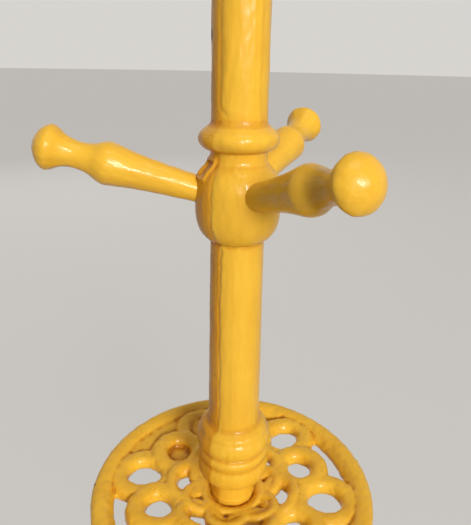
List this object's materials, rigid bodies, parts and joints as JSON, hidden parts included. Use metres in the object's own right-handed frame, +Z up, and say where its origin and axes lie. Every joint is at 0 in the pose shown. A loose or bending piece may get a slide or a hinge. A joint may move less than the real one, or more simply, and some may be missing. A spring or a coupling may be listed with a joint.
{
  "type": "standing coat rack",
  "caption": "Tall turned post on a domed round base, with ball hubs carrying upturned pegs for coats and a pierced rosette disc round the post at knee height.",
  "frame": {"origin": "on the floor under the post's axis", "axes": "+Z up along the post; the front is -Y, and +X is to the right seen from the front"},
  "size_m": [0.4, 0.4, 1.7311],
  "materials": {
    "enamelled_iron": "thick gloss mustard-yellow enamel over rough castings",
    "enamelled_wood": "thick gloss mustard-yellow enamel brushed over turned hardwood",
    "steel": "plain zinc-plated",
    "brass": "plain turned",
    "rubber": "matt black"
  },
  "bodies": {
    "root": {"base_casting": "enamelled_iron", "rosette_disc": "enamelled_iron", "lower_post": "enamelled_wood", "low_section": "enamelled_wood", "middle_section": "enamelled_wood", "top_section": "enamelled_wood", "finial": "enamelled_wood", "low_peg_1": "enamelled_wood", "low_peg_2": "enamelled_wood", "low_peg_3": "enamelled_wood", "middle_peg_1": "enamelled_wood", "middle_peg_2": "enamelled_wood", "middle_peg_3": "enamelled_wood", "top_peg_1": "enamelled_wood", "top_peg_2": "enamelled_wood", "top_peg_3": "enamelled_wood", "base_bolt": "steel", "base_washer": "steel", "disc_rod": "steel", "low_hub_screw": "steel", "middle_hub_screw": "steel", "top_hub_screw": "steel", "post_insert": "brass", "foot_pad_1": "rubber", "foot_pad_2": "rubber", "foot_pad_3": "rubber"}
  },
  "joints": []
}
